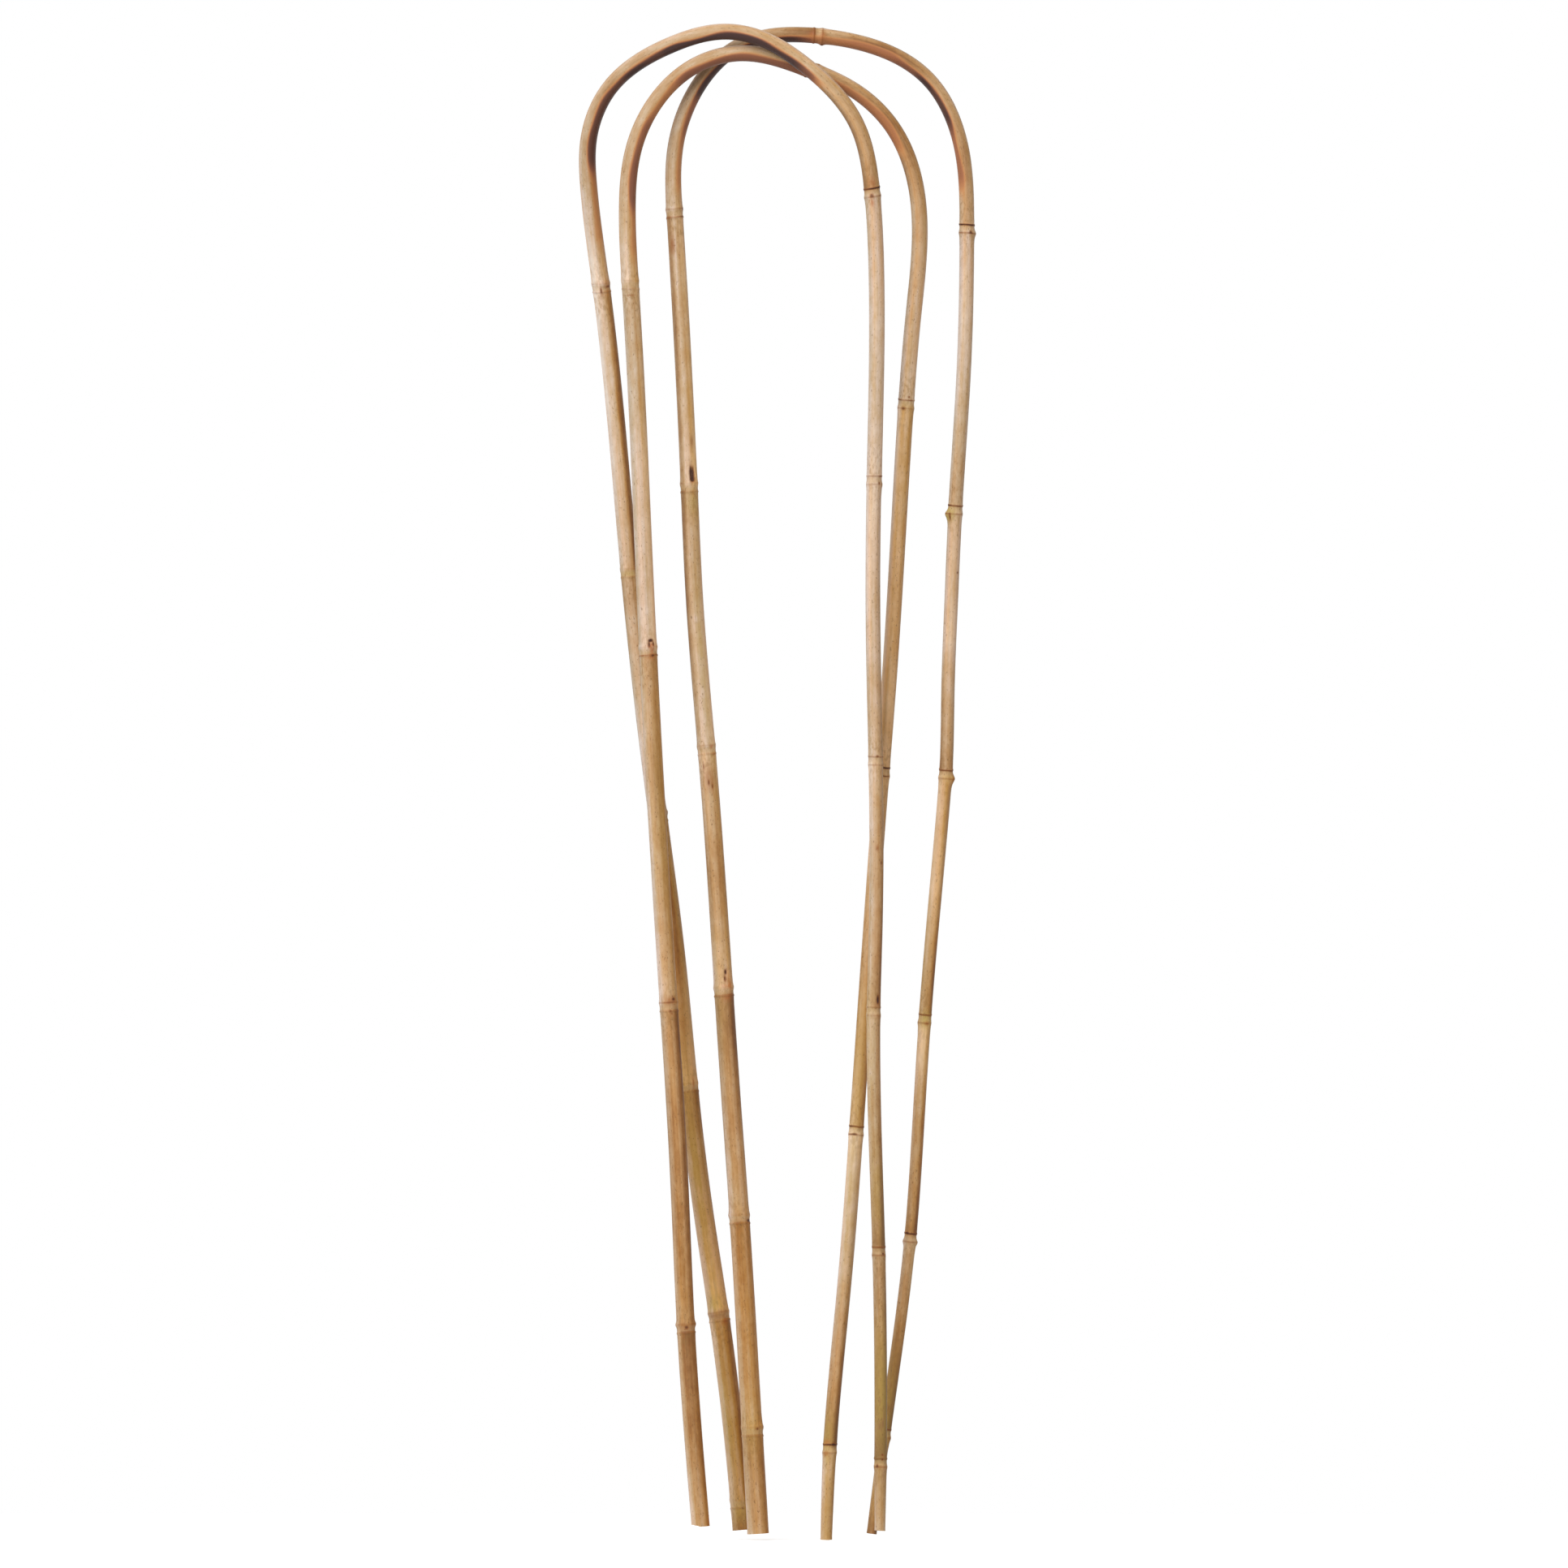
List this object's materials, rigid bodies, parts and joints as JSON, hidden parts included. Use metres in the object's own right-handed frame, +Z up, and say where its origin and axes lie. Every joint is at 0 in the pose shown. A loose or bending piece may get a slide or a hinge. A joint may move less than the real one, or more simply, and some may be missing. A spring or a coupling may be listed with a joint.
{
  "type": "bamboo hoop trellis",
  "caption": "Tall narrow hoops of bent bamboo cane, laid through one another as a set, whose legs push into soil or a pot so that climbing plants can grow up the arches.",
  "frame": {"origin": "middle of the set's width and depth, at the height of its lowest sawn foot", "axes": "+Z up along the legs, +X across the hoops from the thick legs to the thin ones, -Y towards the side the picture was taken from"},
  "size_m": [0.3142, 0.0768, 1.2011],
  "materials": {
    "cane_front": "dried bamboo skin, satin, straw and ochre with scorched brown bends",
    "cane_middle": "dried bamboo skin, satin, straw to pinkish beige",
    "cane_back": "dried bamboo skin, satin, golden tan with orange-brown streaks"
  },
  "bodies": {
    "back_hoop": {"hoop_back": "cane_back"},
    "middle_hoop": {"hoop_middle": "cane_middle"},
    "front_hoop": {"hoop_front": "cane_front"}
  },
  "joints": [
    {"name": "middle_hoop_lift", "type": "slide", "parent": "back_hoop", "child": "middle_hoop", "axis": [0, 0, 1], "range_m": [0, 1.25]},
    {"name": "front_hoop_lift", "type": "slide", "parent": "middle_hoop", "child": "front_hoop", "axis": [0, 0, 1], "range_m": [0, 1.25]}
  ]
}
